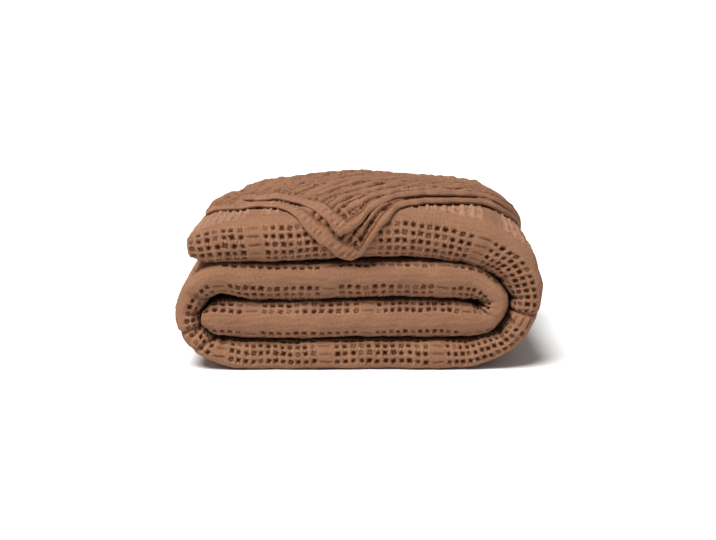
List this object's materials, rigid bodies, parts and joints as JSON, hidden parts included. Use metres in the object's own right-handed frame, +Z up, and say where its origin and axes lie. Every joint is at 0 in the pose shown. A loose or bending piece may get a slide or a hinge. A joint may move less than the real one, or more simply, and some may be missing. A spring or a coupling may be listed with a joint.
{
  "type": "folded waffle weave cotton blanket",
  "caption": "Cotton blanket in a waffle weave, folded lengthwise into a thick strip and coiled flat, with two hemmed corners turned forward over the top.",
  "frame": {"origin": "under the middle of the folded blanket, on the surface it rests on", "axes": "+Z up, -Y out of the folded front, +X to the right as seen from the front, along the longest side"},
  "size_m": [0.4446, 0.3132, 0.2237],
  "materials": {
    "cotton": "matt waffle weave"
  },
  "bodies": {
    "root": {"blanket": "cotton"}
  },
  "joints": []
}
